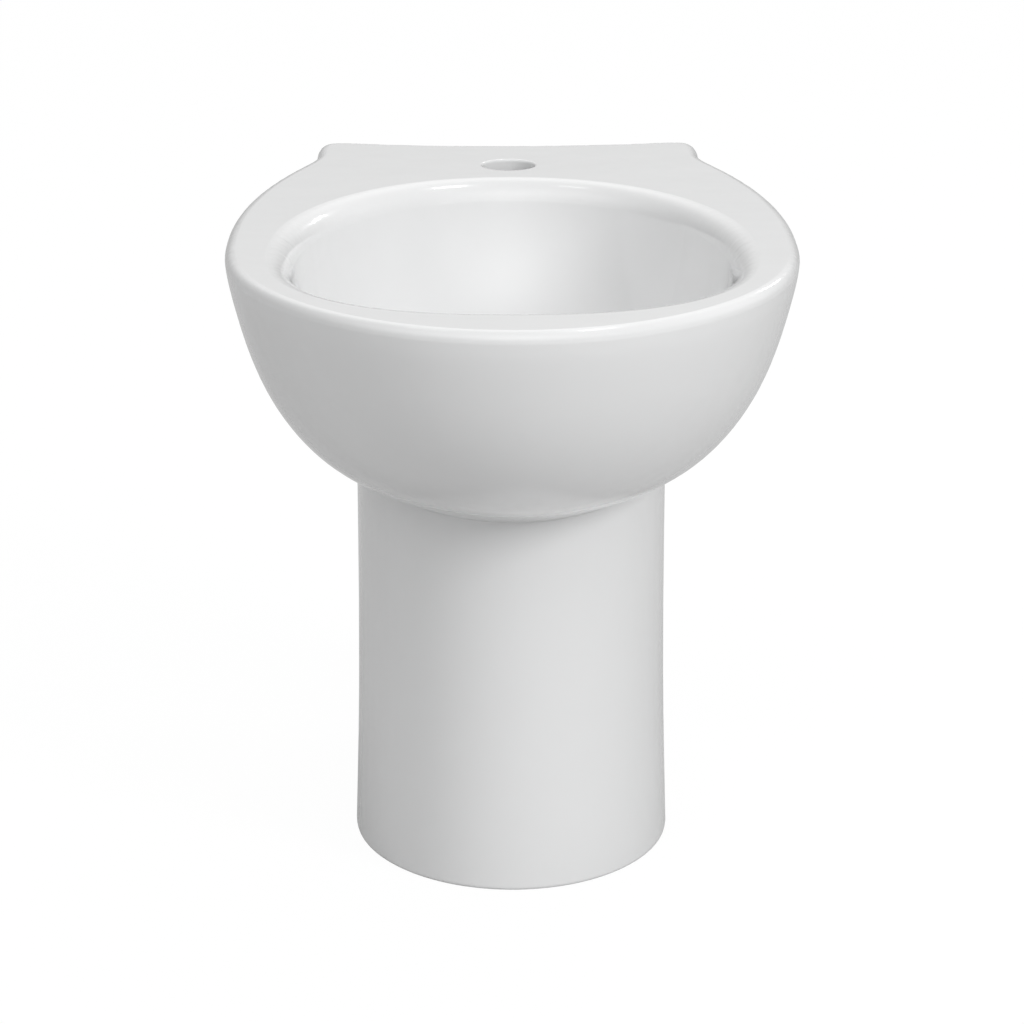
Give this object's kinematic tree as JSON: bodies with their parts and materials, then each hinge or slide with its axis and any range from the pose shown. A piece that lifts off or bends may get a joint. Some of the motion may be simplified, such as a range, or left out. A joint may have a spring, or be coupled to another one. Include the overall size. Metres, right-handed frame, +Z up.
{
  "type": "bidet",
  "caption": "One-piece glazed pedestal bidet with a tap hole in its rear deck, an oval basin with overflow, a push-open waste, a bottle trap and hidden floor brackets.",
  "frame": {"origin": "on the floor, under the middle of the ceramic's outer box", "axes": "+Z up, -Y towards the front of the bowl, +Y towards the wall, X across"},
  "size_m": [0.3604, 0.5543, 0.4],
  "materials": {
    "glaze": "gloss",
    "plated_brass": "polished",
    "nut_brass": "satin",
    "seal_rubber": "matte",
    "washer_plastic": "matte",
    "stem_steel": "satin",
    "cartridge_plastic": "matte",
    "spring_steel": "satin",
    "trap_plastic": "gloss",
    "pipe_plastic": "satin",
    "bracket_zinc": "satin",
    "screw_steel": "satin",
    "cap_plastic": "gloss"
  },
  "bodies": {
    "root": {"bidet_body": "glaze", "waste_body": "plated_brass", "waste_backnut": "nut_brass", "waste_top_seal": "seal_rubber", "waste_bottom_seal": "seal_rubber", "waste_slip_washer": "washer_plastic", "plug_cartridge": "cartridge_plastic", "plug_spring": "spring_steel", "trap_inlet_nut": "trap_plastic", "trap_inlet_seal": "seal_rubber", "trap_body": "trap_plastic", "trap_cup": "trap_plastic", "trap_cup_seal": "seal_rubber", "trap_outlet_seal": "seal_rubber", "trap_outlet_nut": "trap_plastic", "outlet_pipe": "pipe_plastic", "floor_bracket_left": "bracket_zinc", "floor_bracket_right": "bracket_zinc", "side_screw_left": "screw_steel", "side_screw_right": "screw_steel", "screw_washer_left": "washer_plastic", "screw_washer_right": "washer_plastic", "screw_cap_left": "cap_plastic", "screw_cap_right": "cap_plastic"},
    "plug": {"plug_cap": "plated_brass", "plug_seal": "seal_rubber", "plug_stem": "stem_steel"}
  },
  "joints": [
    {"name": "plug_press", "type": "slide", "parent": "root", "child": "plug", "axis": [0, 0, -1], "range_m": [0, 0.007], "stiffness_N_per_m": 500, "springref_m": -0.006, "deforming": ["plug_spring"]}
  ]
}
